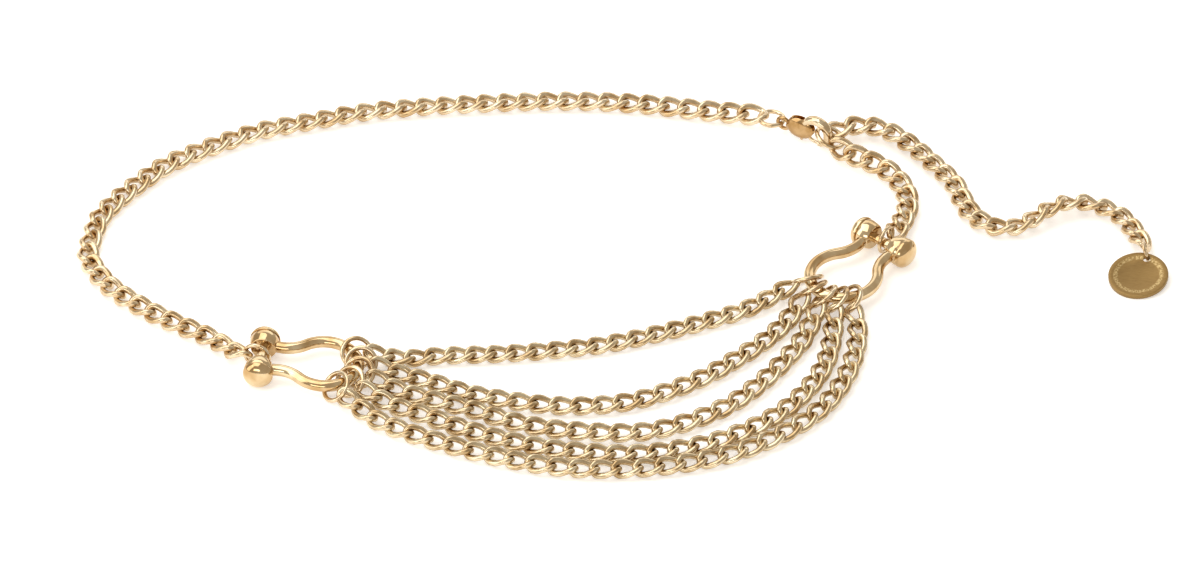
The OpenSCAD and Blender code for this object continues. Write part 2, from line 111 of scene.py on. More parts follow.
def smooth_route(points: Sequence[Point], steps: int = 8) -> np.ndarray:
    """Draws one smooth curve through a chain's points.

    Args:
        points: Places along the chain as x, y, z and roll, in millimetres and degrees.
        steps: How many stretches the curve has between two of them.

    Returns:
        The curve's points, one row each.
    """
    p = np.array(points, dtype=float)
    rows = []
    for i in range(len(p) - 1):
        a, b, c, d = p[max(i - 1, 0)], p[i], p[i + 1], p[min(i + 2, len(p) - 1)]
        for k in range(steps):
            t = k / steps
            rows.append(
                (2 * b + (c - a) * t + (2 * a - 5 * b + 4 * c - d) * t**2
                 + (3 * b - a - 3 * c + d) * t**3) / 2
            )
    return np.array(rows + [p[-1]])


def link_places(
    points: Sequence[Point], half: float, pitch: float, even_count: bool = False
) -> list[Matrix]:
    """Spaces the links of a chain evenly along its route.

    Args:
        points: The route's points.
        half: Half a link's length between its end wires' middles.
        pitch: The wanted distance from link to link.
        even_count: Whether the chain has an even number of links.

    Returns:
        One matrix a link, with the link's length along X and its flat faces along Z.
    """
    curve = smooth_route(points)
    legs = np.linalg.norm(np.diff(curve[:, :3], axis=0), axis=1)
    run = np.concatenate([[0.0], np.cumsum(legs)])
    total = run[-1] - 2 * half
    if even_count:
        count = 2 * math.floor(total / pitch / 2) + 1
    else:
        # A last gap of under a fifth of a pitch is shared out, without a link of its own
        count = math.ceil(total / pitch - 0.2)
    step = total / count

    def at(s: float) -> np.ndarray:
        """The route's place and roll at a distance along it."""
        return np.array([np.interp(s, run, curve[:, k]) for k in range(4)])

    places = []
    for i in range(count + 1):
        s = half + i * step
        here = at(s)
        x = Vector(at(s + step / 3)[:3] - at(s - step / 3)[:3]).normalized()
        y = Vector(Axis.Z.value).cross(x).normalized()
        z = x.cross(y)
        basis = Matrix((x, y, z)).transposed().to_4x4()
        places.append(shift(*here[:3]) @ basis @ turn(float(here[3]), Axis.X))
    return places


# Modelling


def clear_selection() -> None:
    """Leaves nothing selected and no object in edit mode."""
    if bpy.context.object and bpy.context.object.mode != "OBJECT":
        bpy.ops.object.mode_set(mode="OBJECT")
    bpy.ops.object.select_all(action="DESELECT")


def activate(thing: bpy.types.Object) -> None:
    """Selects one object alone and makes it the active one.

    Args:
        thing: The object.
    """
    clear_selection()
    thing.select_set(True)
    bpy.context.view_layer.objects.active = thing


@contextmanager
def editing(thing: bpy.types.Object) -> Iterator[None]:
    """Opens an object in edit mode with nothing selected, and closes it after.

    Args:
        thing: The object to edit.

    Yields:
        Nothing. The object stays in edit mode until the block ends.
    """
    activate(thing)
    bpy.ops.object.mode_set(mode="EDIT")
    bpy.ops.mesh.select_mode(type="VERT")
    bpy.ops.mesh.select_all(action="DESELECT")
    yield
    bpy.ops.object.mode_set(mode="OBJECT")


def pick(thing: bpy.types.Object, test: Callable[[Vector], bool]) -> None:
    """Selects the points of the edited object that pass a test of their place.

    Args:
        thing: The edited object.
        test: Says of a point's place whether the point is selected.
    """
    mesh = bmesh.from_edit_mesh(thing.data)
    for vert in mesh.verts:
        vert.select = test(vert.co)
    mesh.select_flush_mode()
    bmesh.update_edit_mesh(thing.data)


def pick_faces(thing: bpy.types.Object, test: Callable[[bmesh.types.BMFace], bool]) -> None:
    """Selects the faces of the edited object that pass a test.

    Args:
        thing: The edited object.
        test: Says of a face whether it is selected.
    """
    bpy.ops.mesh.select_mode(type="FACE")
    mesh = bmesh.from_edit_mesh(thing.data)
    for face in mesh.faces:
        face.select = test(face)
    mesh.select_flush_mode()
    bmesh.update_edit_mesh(thing.data)


def everything(_: Vector) -> bool:
    """A test that every point passes."""
    return True


def cut_loop(thing: bpy.types.Object, at: Vector, normal: Vector) -> None:
    """Adds a loop of edges to the edited object, where a plane crosses it."""
    pick(thing, everything)
    bpy.ops.mesh.bisect(plane_co=at, plane_no=normal)


def apply_modifier(thing: bpy.types.Object, kind: str, **settings: object) -> None:
    """Adds a modifier with its settings and applies it.

    Args:
        thing: The object that it shapes.
        kind: The modifier's type.
        settings: Values of the modifier's properties, by name.
    """
    activate(thing)
    bpy.ops.object.modifier_add(type=kind)
    modifier = thing.modifiers[-1]
    for name, value in settings.items():
        setattr(modifier, name, value)
    bpy.ops.object.modifier_apply(modifier=modifier.name)


def ease(thing: bpy.types.Object, width: float, segments: int, angle: float = 30.0) -> None:
    """Rounds the edges that turn by more than an angle in degrees."""
    apply_modifier(
        thing, "BEVEL", width=width, segments=segments, limit_method="ANGLE",
        angle_limit=math.radians(angle),
    )


def rod(parts: int, across: float, depth: float) -> bpy.types.Object:
    """Adds a round rod along Z, with its middle at the origin."""
    bpy.ops.mesh.primitive_cylinder_add(vertices=parts, radius=across / 2, depth=depth)
    return bpy.context.object


def place_mesh(thing: bpy.types.Object, place: Matrix) -> bpy.types.Object:
    """Puts an object's place in its mesh and leaves the object itself at the origin.

    Args:
        thing: The object.
        place: The move, turn or scale that its mesh takes besides.

    Returns:
        The same object.
    """
    thing.data.transform(place @ thing.matrix_basis)
    thing.matrix_basis = Matrix.Identity(4)
    return thing


def tidy_shell(thing: bpy.types.Object) -> bpy.types.Object:
    """Merges doubled points of a shell, closes its holes and turns its faces outwards.

    Args:
        thing: The shell, in millimetres.

    Returns:
        The same object.
    """
    with editing(thing):
        pick(thing, everything)
        bpy.ops.mesh.remove_doubles(threshold=0.002)
        bpy.ops.mesh.fill_holes(sides=0)
        bpy.ops.mesh.select_all(action="SELECT")
        bpy.ops.mesh.normals_make_consistent(inside=False)
    return thing


def joined(parts: Sequence[bpy.types.Object], name: str) -> bpy.types.Object:
    """Joins objects into one and names it.

    Args:
        parts: The objects, of which the first takes in the others.
        name: The name of the whole.

    Returns:
        The whole.
    """
    clear_selection()
    for part in parts:
        part.select_set(True)
    bpy.context.view_layer.objects.active = parts[0]
    if len(parts) > 1:
        bpy.ops.object.join()
    whole = bpy.context.view_layer.objects.active
    whole.name = whole.data.name = name
    return whole


def repeated(
    pattern: bpy.types.Object, places: Iterable[Matrix], name: str
) -> bpy.types.Object:
    """Copies one modelled shape to many places and joins the copies.

    Args:
        pattern: The shape, in millimetres at the origin. It is removed afterwards.
        places: Where each copy goes, in millimetres.
        name: The joined piece's name.

    Returns:
        One piece that holds every copy, in metres.
    """
    copies = []
    for place in places:
        copy = pattern.copy()
        copy.data = pattern.data.copy()
        copy.data.transform(Matrix.Scale(MM, 4) @ place)
        bpy.context.collection.objects.link(copy)
        copies.append(copy)
    bpy.data.objects.remove(pattern)
    return joined(copies, name)


def round_off(thing: bpy.types.Object, angle: float) -> bpy.types.Object:
    """Shades a piece smoothly, except over sharp edges.

    Args:
        thing: The piece.
        angle: The turn past which an edge is sharp, in degrees.

    Returns:
        The same piece.
    """
    activate(thing)
    bpy.ops.object.shade_smooth_by_angle(angle=math.radians(angle))
    return thing


def wire_ring(
    across: float, wire: float, around: int = 44, sides: int = 14, open_joint: bool = True
) -> bpy.types.Object:
    """Models a round wire ring with the fine seam where its ends meet.

    Args:
        across: Diameter of the ring at the middle of its wire.
        wire: Diameter of the wire.
        around: Parts round the ring.
        sides: Parts round the wire.
        open_joint: Whether the ring has a seam.

    Returns:
        The ring in millimetres, with its hole along Z.
    """
    bpy.ops.mesh.primitive_torus_add(
        major_radius=across / 2, minor_radius=wire / 2, major_segments=around, minor_segments=sides
    )
    ring = bpy.context.object
    if open_joint:
        seam, pinch = 0.05, 0.84
        with editing(ring):
            for offset in (-seam, 0.0, seam):
                cut_loop(ring, Vector((0.0, offset, 0.0)), Vector(Axis.Y.value))
            pick(ring, lambda p: p.x > 0 and abs(p.y) < seam / 2)
            bpy.ops.transform.resize(
                value=(pinch, 1.0, pinch), center_override=(across / 2, 0.0, 0.0)
            )
    return ring


# Finishes


def srgb(code: str) -> tuple[float, float, float, float]:
    """Turns an sRGB hex value to linear colour.

    Args:
        code: A hash sign and six hex digits.

    Returns:
        Linear red, green and blue, and an alpha of 1.
    """
    parts = [int(code.lstrip("#")[k : k + 2], 16) / 255 for k in (0, 2, 4)]
    linear = [c / 12.92 if c <= 0.04045 else ((c + 0.055) / 1.055) ** 2.4 for c in parts]
    return (linear[0], linear[1], linear[2], 1.0)


def feed(node: bpy.types.Node, links: dict[str | int, bpy.types.NodeSocket]) -> None:
    """Links sockets to a node's inputs, by the inputs' names or numbers."""
    for name, socket in links.items():
        node.id_data.links.new(socket, node.inputs[name])


def add_node(
    tree: bpy.types.NodeTree,
    kind: str,
    settings: dict[str | int, object] | None = None,
    links: dict[str | int, bpy.types.NodeSocket] | None = None,
) -> bpy.types.Node:
    """Adds a node with its settings and links.

    Args:
        tree: The node tree.
        kind: The node's type.
        settings: Values of its inputs, by name or number, or else of its own properties.
        links: Sockets that feed its inputs, by name or number.

    Returns:
        The new node.
    """
    node = tree.nodes.new(kind)
    values = dict(settings or {})
    for name in [n for n in values if isinstance(n, str) and n not in node.inputs]:
        setattr(node, name, values.pop(name))
    for name, value in values.items():
        node.inputs[name].default_value = value
    feed(node, links or {})
    return node


def per_metre(size_mm: float) -> float:
    """The scale at which a noise texture's patches are that many millimetres across."""
    return 1.0 / (size_mm * MM)


def start_material(
    name: str, shading: dict[str, float]
) -> tuple[bpy.types.Material, bpy.types.Node, bpy.types.NodeSocket]:
    """Starts a material.

    Args:
        name: The material's name.
        shading: Values of its shader's inputs, by name.

    Returns:
        The material, its shader and the socket with the place on the object.
    """
    made = bpy.data.materials.new(name)
    made.use_nodes = True
    shader = made.node_tree.nodes["Principled BSDF"]
    for key, value in shading.items():
        shader.inputs[key].default_value = value
    return made, shader, add_node(made.node_tree, "ShaderNodeTexCoord").outputs["Object"]


def mottle(
    tree: bpy.types.NodeTree,
    place: bpy.types.NodeSocket,
    size_mm: float,
    tones: tuple[str, str],
    spread: tuple[float, float] = (0.0, 1.0),
) -> tuple[bpy.types.NodeSocket, bpy.types.NodeSocket]:
    """Adds a pattern of patches in two tones.

    Args:
        tree: The node tree.
        place: The socket with the place on the object.
        size_mm: How far across the patches are.
        tones: The deep and the light tone, as sRGB hex values.
        spread: The pattern's values at which each tone is pure.

    Returns:
        The sockets with the pattern's value and its colour.
    """
    patches = add_node(
        tree, "ShaderNodeTexNoise",
        {"Scale": per_metre(size_mm), "Detail": 3.0}, {"Vector": place},
    )
    ramp = add_node(tree, "ShaderNodeValToRGB", links={"Fac": patches.outputs["Fac"]})
    for element, position, tone in zip(ramp.color_ramp.elements, spread, tones):
        element.position = position
        element.color = srgb(tone)
    return patches.outputs["Fac"], ramp.outputs["Color"]


@dataclass(frozen=True)
class GoldPlate:
    """Bright gold plate on cast or drawn brass, tumbled and polished.

    It mirrors the room in pale gold, with soft waviness and hairline rubs from the tumbling,
    and a slightly redder tone where the plate is thinner. The rubs are drawn coarser than
    real ones, so that they show.
    """

    name: str
    light: str = "#E0CEB0"
    deep: str = "#BD9F75"
    roughness: float = 0.19
    tone_mm: float = 5.0
    wave_mm: float = 1.6
    wave_depth_mm: float = 0.012
    rub_mm: float = 0.35

    def material(self) -> bpy.types.Material:
        """Builds the plate's material, or gives the one that is there already.

        Returns:
            The material.
        """
        if self.name in bpy.data.materials:
            return bpy.data.materials[self.name]
        made, shader, place = start_material(self.name, {"Metallic": 1.0})
        tree = made.node_tree
        _, tone = mottle(tree, place, self.tone_mm, (self.deep, self.light), (0.35, 0.65))
        rubs = add_node(
            tree, "ShaderNodeTexNoise",
            {"Scale": per_metre(self.rub_mm), "Detail": 4.0, "Roughness": 0.6},
            {"Vector": place},
        )
        rough = add_node(
            tree, "ShaderNodeMapRange",
            {"From Min": 0.3, "From Max": 0.7, "To Min": self.roughness * 0.7,
             "To Max": self.roughness * 1.4},
            {"Value": rubs.outputs["Fac"]},
        )
        wave = add_node(
            tree, "ShaderNodeTexNoise",
            {"Scale": per_metre(self.wave_mm), "Detail": 2.0}, {"Vector": place},
        )
        bump = add_node(
            tree, "ShaderNodeBump",
            {"Strength": 1.0, "Distance": self.wave_depth_mm * MM},
            {"Height": wave.outputs["Fac"]},
        )
        feed(shader, {
            "Base Color": tone,
            "Roughness": rough.outputs["Result"],
            "Normal": bump.outputs["Normal"],
        })
        return made


@dataclass(frozen=True)
class SatinGold:
    """Gold plate brushed in one direction before plating, as on the face of a stamped tag.

    The brush lines spread the mirror image sideways, and the face's base tones are painted darker
    and browner than polished plate, as painted shade for that spread reflection. The brush lines
    are drawn coarser than real ones.
    """

    name: str
    # Painted shade: these base tones are darker and browner than the polished plates', standing in
    # for the brushed face's spread reflection
    light: str = "#9E8253"
    deep: str = "#886C41"
    # Painted glints: the lighter tone painted on the border's pebbles
    border_glint: str = "#D2BA86"
    roughness: float = 0.42
    line_mm: float = 0.12
    line_depth_mm: float = 0.003
    grain_angle: float = 20.0
    middle_mm: tuple[float, float] = (0.0, 0.0)
    border_mm: tuple[float, float] = (7.6, 9.2)
    pebble_mm: float = 0.55
    pebble_depth_mm: float = 0.03

    def material(self) -> bpy.types.Material:
        """Builds the brushed material.

        Returns:
            The material.
        """
        made, shader, place = start_material(self.name, {"Metallic": 1.0})
        tree = made.node_tree
        # Lines run 40 times as long as they are wide
        along = add_node(
            tree, "ShaderNodeMapping",
            {"Rotation": (0.0, 0.0, math.radians(self.grain_angle)), "Scale": (0.025, 1.0, 1.0)},
            {"Vector": place},
        )
        lines, brushed = mottle(
            tree, along.outputs["Vector"], self.line_mm, (self.deep, self.light), (0.3, 0.7)
        )
        rough = add_node(
            tree, "ShaderNodeMapRange",
            {"From Min": 0.3, "From Max": 0.7, "To Min": self.roughness * 0.8,
             "To Max": self.roughness * 1.3},
            {"Value": lines},
        )
        pebbles_and_glints = self.pebbled_border_and_glints(tree, place)
        # Painted glints: the border's pebbles get the lighter glint tone mixed in, besides their
        # raised bump
        tone = add_node(
            tree, "ShaderNodeMix",
            {"data_type": "RGBA", "blend_type": "MIX", 7: srgb(self.border_glint)},
            {"Factor": pebbles_and_glints, 6: brushed},
        )
        bump = add_node(
            tree, "ShaderNodeBump",
            {"Strength": 1.0, "Distance": self.line_depth_mm * MM}, {"Height": lines},
        )
        pebble_bump = add_node(
            tree, "ShaderNodeBump",
            {"Strength": 1.0, "Distance": self.pebble_depth_mm * MM},
            {"Height": pebbles_and_glints, "Normal": bump.outputs["Normal"]},
        )
        feed(shader, {
            "Base Color": tone.outputs[2],
            "Roughness": rough.outputs["Result"],
            "Normal": pebble_bump.outputs["Normal"],
        })
        return made

    def pebbled_border_and_glints(
        self, tree: bpy.types.NodeTree, place: bpy.types.NodeSocket
    ) -> bpy.types.NodeSocket:
        """Adds the pattern of small raised pebbles that runs round the tag's border; it also sets
        where the painted glints go.

        Args:
            tree: The node tree.
            place: The socket with the place on the object.

        Returns:
            A socket that is 1 on a pebble and 0 between them and on the rest of the face.
        """
        flat = add_node(
            tree, "ShaderNodeVectorMath", {"operation": "MULTIPLY", 1: (1.0, 1.0, 0.0)}, {0: place}
        )
        out = add_node(
            tree, "ShaderNodeVectorMath",
            {"operation": "DISTANCE", 1: (self.middle_mm[0] * MM, self.middle_mm[1] * MM, 0.0)},
            {0: flat.outputs["Vector"]},
        )
        centre = sum(self.border_mm) / 2 * MM
        half = (self.border_mm[1] - self.border_mm[0]) / 2 * MM
        from_band = add_node(
            tree, "ShaderNodeMath", {"operation": "SUBTRACT", 1: centre}, {0: out.outputs["Value"]}
        )
        aside = add_node(
            tree, "ShaderNodeMath", {"operation": "ABSOLUTE"}, {0: from_band.outputs["Value"]}
        )
        band = add_node(
            tree, "ShaderNodeMapRange",
            {"From Min": half * 0.6, "From Max": half * 1.2, "To Min": 1.0, "To Max": 0.0},
            {"Value": aside.outputs["Value"]},
        )
        noise = add_node(
            tree, "ShaderNodeTexNoise",
            {"Scale": per_metre(self.pebble_mm), "Detail": 1.0}, {"Vector": place},
        )
        grains = add_node(
            tree, "ShaderNodeMapRange",
            {"From Min": 0.42, "From Max": 0.6, "To Min": 0.0, "To Max": 0.85},
            {"Value": noise.outputs["Fac"]},
        )
        return add_node(
            tree, "ShaderNodeMath", {"operation": "MULTIPLY"},
            {0: band.outputs["Result"], 1: grains.outputs["Result"]},
        ).outputs["Value"]


@dataclass(frozen=True)
class StudioPaper:
    """Matt white paper on a light table, with the faint mottle of its fibre."""

    name: str = "studio_paper"
    light: str = "#FBFAF8"
    deep: str = "#F8F7F5"
    fibre_mm: float = 3.0
    glow: float = 0.4

    def material(self) -> bpy.types.Material:
        """Builds the paper's material.

        Returns:
            The material.
        """
        made, shader, place = start_material(
            self.name,
            {"Roughness": 0.95, "Specular IOR Level": 0.1, "Emission Strength": self.glow},
        )
        _, tone = mottle(made.node_tree, place, self.fibre_mm, (self.deep, self.light))
        feed(shader, {"Base Color": tone, "Emission Color": tone})
        return made


CURB_PLATE = GoldPlate("curb_chain_gold_plate")
STRAND_PLATE = GoldPlate("strand_gold_plate", light="#DCCBAB", deep="#B2966D", wave_mm=1.0)
SHACKLE_PLATE = GoldPlate(
    "shackle_gold_plate", light="#E0CBA5", deep="#BD9B6C", roughness=0.1, tone_mm=9.0, wave_mm=4.0
)
RING_PLATE = GoldPlate("ring_gold_plate", roughness=0.11)
CLASP_PLATE = GoldPlate(
    "clasp_gold_plate", light="#C8A87C", deep="#A5804F", roughness=0.13, wave_mm=1.2
)
TAG_SATIN = SatinGold("tag_satin_gold", middle_mm=(233.0, 2.6))


def finish_piece(
    piece: bpy.types.Object,
    finish: GoldPlate | SatinGold,
    nodes: Sequence[str],
    body: Body = Body.CHAIN,
) -> None:
    """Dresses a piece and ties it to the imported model.

    Args:
        piece: The piece, in metres.
        finish: Its finish.
        nodes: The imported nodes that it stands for.
        body: The body that it rides on.
    """
    piece.data.materials.clear()
    piece.data.materials.append(finish.material())
    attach(piece, body.value)
    if nodes:
        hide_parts(*nodes)
    LOG.info(
        "%s: %d faces, stands for %s",
        piece.name, len(piece.data.polygons), ", ".join(nodes) or "no node of its own",
    )


def hang_rings(
    ring: bpy.types.Object, places: Iterable[Matrix], name: str, nodes: Sequence[str]
) -> None:
    """Copies a modelled ring to its places as one piece, and dresses it.

    Args:
        ring: The ring, in millimetres at the origin.
        places: Where each copy goes.
        name: The piece's name.
        nodes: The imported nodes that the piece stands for.
    """
    piece = round_off(repeated(ring, places, name), angle=50.0)
    finish_piece(piece, RING_PLATE, nodes)


# Chains


@dataclass(frozen=True)
class CurbLink:
    """One twisted link of round wire, in millimetres and degrees."""

    length: float
    width: float
    wire: float
    tilt: float
    around: int
    sides: int
    bulge: float = 0.0

    def model(self) -> bpy.types.Object:
        """Models the link as it is made: a ring drawn out to an oval, then twisted.

        Returns:
            The link, with its length along X.
        """
        bpy.ops.mesh.primitive_torus_add(
            major_radius=(self.width - self.wire) / 2,
            minor_radius=self.wire / 2,
            major_segments=self.around,
            minor_segments=self.sides,
        )
        link = bpy.context.object
        reach = (self.length - self.width) / 2
        loops_at = reach * 0.6
        bulge_reach = self.length * 0.45
        with editing(link):
            for side in (1, -1):
                pick(link, lambda p: p.x * side > ON_PLANE)
                bpy.ops.transform.translate(value=(side * reach, 0.0, 0.0))
            for at in (-loops_at, 0.0, loops_at):
                cut_loop(link, Vector((at, 0.0, 0.0)), Vector(Axis.X.value))
            for side in (1, -1):
                pick(link, lambda p: p.y * side > 0.0 and abs(p.x) < ON_PLANE)
                bpy.ops.transform.translate(
                    value=(0.0, side * self.bulge, 0.0), use_proportional_edit=True,
                    use_proportional_connected=True, proportional_edit_falloff="SMOOTH",
                    proportional_size=bulge_reach,
                )
        whole_twist = 2 * self.tilt * self.length / (self.length - self.wire)
        apply_modifier(
            link, "SIMPLE_DEFORM", deform_method="TWIST", deform_axis="X",
            angle=-math.radians(whole_twist),
        )
        return link


@dataclass(frozen=True)
class Chain:
    """A chain of curb links along a route."""

    node: str
    link: CurbLink
    pitch: float
    route: tuple[Point, ...]
    finish: GoldPlate
    slot: str
    half: float
    even_count: bool = False

    def build(self) -> None:
        """Models the links at their places as one piece, and dresses it."""
        places = link_places(self.route, self.half, self.pitch, self.even_count)
        links = repeated(self.link.model(), places, self.node + "_links")
        piece = round_off(links, angle=60.0)
        finish_piece(piece, self.finish, [self.node])


def seat(ring_across: float, ring_wire: float, wire: float) -> float:
    """How far from a ring's middle the middle of a wire that hangs in it lies."""
    return ring_across / 2 - ring_wire / 2 - wire / 2 - PLAY


def toward(start: Vector, end: Sequence[float], by: float) -> Vector:
    """The point that lies some way from a start towards an end."""
    return start + (Vector(end[:3]) - start).normalized() * by


def rolled(v: Vector, roll: float) -> Point:
    """A route's point from a place and a roll."""
    return (v.x, v.y, v.z, roll)


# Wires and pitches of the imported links, which set where the chains end
PACKED_WIRE, PACKED_FINE_WIRE = 2.0, 1.2
HEAVY_PITCH, FINE_PITCH = 7.4, 7.7
# Half a packed strand link, between its end wires' middles
FINE_HALF = 5.0
# How much further in than the free play the heavy chains' last wires lie
END_INSET = 0.1

HEAVY_LINK = CurbLink(
    length=12.4, width=7.4, wire=2.5, tilt=44.0, around=30, sides=12, bulge=0.7
)
FINE_LINK = CurbLink(
    length=12.5, width=6.7, wire=2.4, tilt=45.0, around=26, sides=10, bulge=0.75
)


# Shackles and rings


@dataclass(frozen=True)
class Shackle:
    """A bow shackle with its pin, the ring on the pin and five rings on the bow.

    Sizes are in millimetres, and turns and angles in degrees.
    """

    side: str
    pin_at: tuple[float, float]
    turned: float
    # Where round the bow its rings hang, and the points that their strands set out for
    ring_angles: tuple[float, ...]
    strand_ends: tuple[tuple[float, float], ...]
    end_ring_turn: float
    # The bow, and how far past the pin its wire starts and over the table its end stays
    wire: float = 4.4
    wire_start: float = 3.0
    wire_clearance: float = 1.0
    width: float = 29.2
    length: float = 37.8
    neck: float = 12.6
    shoulder: float = 12.0
    # Lugs, knobs and pin
    lug_gap: float = 8.6
    lug_thick: float = 5.2
    lug_across: float = 9.2
    knob_across: float = 11.2
    knob_rise: float = 3.9
    pin_across: float = 3.6
    pin_far_end: float = 3.6
    # The rings on the bow, and how much further in than the free play a strand ends
    ring_across: float = 10.8
    ring_wire: float = 1.4
    ring_stoutness: float = 1.28
    ring_out: float = 1.0
    ring_lift: float = 0.08
    ring_lean: float = 44.0
    ring_turn: float = 0.36
    ring_seam: float = 140.0
    strand_inset: float = 0.2
    # The ring on the pin
    end_ring_across: float = 9.4
    end_ring_wire: float = 1.5
    end_ring_seam: float = 60.0

    @property
    def bow_radius(self) -> float:
        """Radius of the bow at the middle of its wire."""
        return (self.width - self.wire) / 2

    @property
    def pin_point(self) -> Vector:
        """The middle of the pin."""
        return Vector((*self.pin_at, self.knob_across / 2))

    @property
    def bow_middle(self) -> float:
        """How far the middle of the round bow is from the pin."""
        return self.length - self.wire / 2 - self.bow_radius

    @property
    def drop(self) -> float:
        """How far the bow dips towards the table, in degrees."""
        low = self.wire / 2 + self.ring_wire + self.wire_clearance
        return math.degrees(
            math.asin((self.knob_across / 2 - low) / (self.length - self.wire / 2))
        )

    def frame(self) -> Matrix:
        """The shackle's own frame: pin along Y through its origin, bow towards +X."""
        return (
            Matrix.Translation(self.pin_point) @ turn(self.turned, Axis.Z) @ turn(self.drop, Axis.Y)
        )

    def ring_at(self, i: int) -> Vector:
        """The middle of a ring on the bow.

        Args:
            i: Which ring, from 0.

        Returns:
            Its place over the table, in millimetres.
        """
        a = math.radians(self.ring_angles[i])
        out = self.bow_radius + self.ring_out
        return self.frame() @ Vector(
            (self.bow_middle + out * math.cos(a), out * math.sin(a), 0.0)
        )

    def ring_heading(self, i: int) -> float:
        """The way that a ring on the bow points, partly turned towards its strand.

        Args:
            i: Which ring, from 0.

        Returns:
            Its heading, in degrees.
        """
        own = self.turned + self.ring_angles[i]
        end = self.strand_ends[i]
        at = self.ring_at(i)
        wanted = heading_of(Vector((end[0] - at.x, end[1] - at.y, 0.0)))
        return own + self.ring_turn * ((wanted - own + 900) % 360 - 180)

    def strand_seat(self, i: int) -> Vector:
        """Where a strand's last link ends in its ring."""
        inside = seat(self.ring_across, self.ring_wire, PACKED_FINE_WIRE) - self.strand_inset
        return self.ring_at(i) + heading(self.ring_heading(i)) * inside

    def end_ring_at(self) -> Vector:
        """The middle of the ring on the pin."""
        inside = seat(self.end_ring_across, self.end_ring_wire, self.pin_across)
        return self.pin_point - heading(self.turned + self.end_ring_turn) * inside

    def bend_bow(self) -> bpy.types.Object:
        """Bends the bow's wire from one lug round to the other.

        Returns:
            The wire, closed at both ends.
        """
        radius, shoulder = self.bow_radius, self.shoulder
        shoulder_parts, bow_parts = 10, 56
        wide = 180 - math.degrees(math.asin((self.neck / 2 + shoulder) / (radius + shoulder)))
        hub = Vector((self.bow_middle, 0.0, 0.0)) + heading(wide) * (radius + shoulder)
        last = 270 - math.degrees(math.asin((hub.x - self.wire_start) / shoulder))
        first = hub + heading(last) * shoulder
        way = heading(last + 90)
        start = Vector((first.x, -first.y, 0.0))
        bpy.ops.mesh.primitive_circle_add(vertices=20, radius=self.wire / 2)
        wire = bpy.context.object
        facing = Vector((way.x, -way.y, 0.0)).to_track_quat("Z", "Y").to_matrix().to_4x4()
        place_mesh(wire, Matrix.Translation(start) @ facing)
        bends = (
            (Vector((hub.x, -hub.y, 0.0)), wide + 180 - last, shoulder_parts),
            (Vector((self.bow_middle, 0.0, 0.0)), -2 * wide, bow_parts),
            (hub, wide + 180 - last, shoulder_parts),
        )
        with editing(wire):
            pick(wire, everything)
            for centre, angle, steps in bends:
                bpy.ops.mesh.spin(
                    steps=steps, angle=math.radians(angle), center=centre, axis=Axis.Z.value
                )
        return tidy_shell(wire)

    def on_pin(self, thing: bpy.types.Object, side: int, out: float) -> bpy.types.Object:
        """Puts a turned shape on the pin's line, some way out and facing outwards."""
        return place_mesh(thing, shift(0.0, side * out, 0.0) @ turn(-90.0 * side, Axis.X))

    def turn_lug(self, side: int) -> bpy.types.Object:
        """Turns one lug: a boss with eased edges and a groove under its knob.

        Args:
            side: 1 for the lug at +Y, -1 for the one at -Y.

        Returns:
            The lug in the shackle's frame.
        """
        lug = rod(parts=64, across=self.lug_across, depth=self.lug_thick)
        # Places along the boss and how wide it is there, as parts of its thickness and width
        profile = ((-0.5, 1.0), (-0.24, 1.1), (0.04, 1.16), (0.32, 1.19), (0.42, 1.13), (0.5, 1.13))
        with editing(lug):
            for at, _ in profile[1:-1]:
                cut_loop(lug, Vector((0.0, 0.0, at * self.lug_thick)), Vector(Axis.Z.value))
            for at, part in profile:
                pick(lug, lambda p: abs(p.z - at * self.lug_thick) < 0.02)
                bpy.ops.transform.resize(value=(part, part, 1.0), center_override=(0.0, 0.0, 0.0))
        ease(lug, width=0.5, segments=4, angle=50.0)
        return self.on_pin(lug, side, self.lug_gap / 2 + self.lug_thick / 2)

    def turn_knob(self, side: int) -> bpy.types.Object:
        """Turns a domed knob with a short straight rim.

        Args:
            side: 1 for the knob at +Y, -1 for the one at -Y.

        Returns:
            The knob in the shackle's frame.
        """
        rim = 0.4
        bpy.ops.mesh.primitive_uv_sphere_add(
            segments=64, ring_count=32, radius=self.knob_across / 2
        )
        knob = bpy.context.object
        with editing(knob):
            pick(knob, everything)
            bpy.ops.mesh.bisect(
                plane_co=(0.0, 0.0, 0.001), plane_no=Axis.Z.value, clear_inner=True, use_fill=True
            )
            pick(knob, everything)
            bpy.ops.transform.resize(
                value=(1.0, 1.0, (self.knob_rise - rim) / (self.knob_across / 2)),
                center_override=(0.0, 0.0, 0.0),
            )
            bpy.ops.transform.translate(value=(0.0, 0.0, rim))
            pick_faces(knob, lambda f: f.normal.z < -0.9)
            bpy.ops.mesh.extrude_region_move(TRANSFORM_OT_translate={"value": (0.0, 0.0, -rim)})
        ease(knob, width=0.22, segments=3, angle=60.0)
        return self.on_pin(knob, side, self.lug_gap / 2 + self.lug_thick)

    def turn_pin(self) -> bpy.types.Object:
        """Turns the pin's shank, with eased ends.

        Returns:
            The shank in the shackle's frame.
        """
        far = self.lug_gap / 2 + self.pin_far_end
        near = self.lug_gap / 2 + self.lug_thick
        shank = rod(parts=40, across=self.pin_across, depth=far + near)
        ease(shank, width=0.3, segments=2)
        return place_mesh(shank, shift(0.0, (far - near) / 2, 0.0) @ turn(90.0, Axis.X))

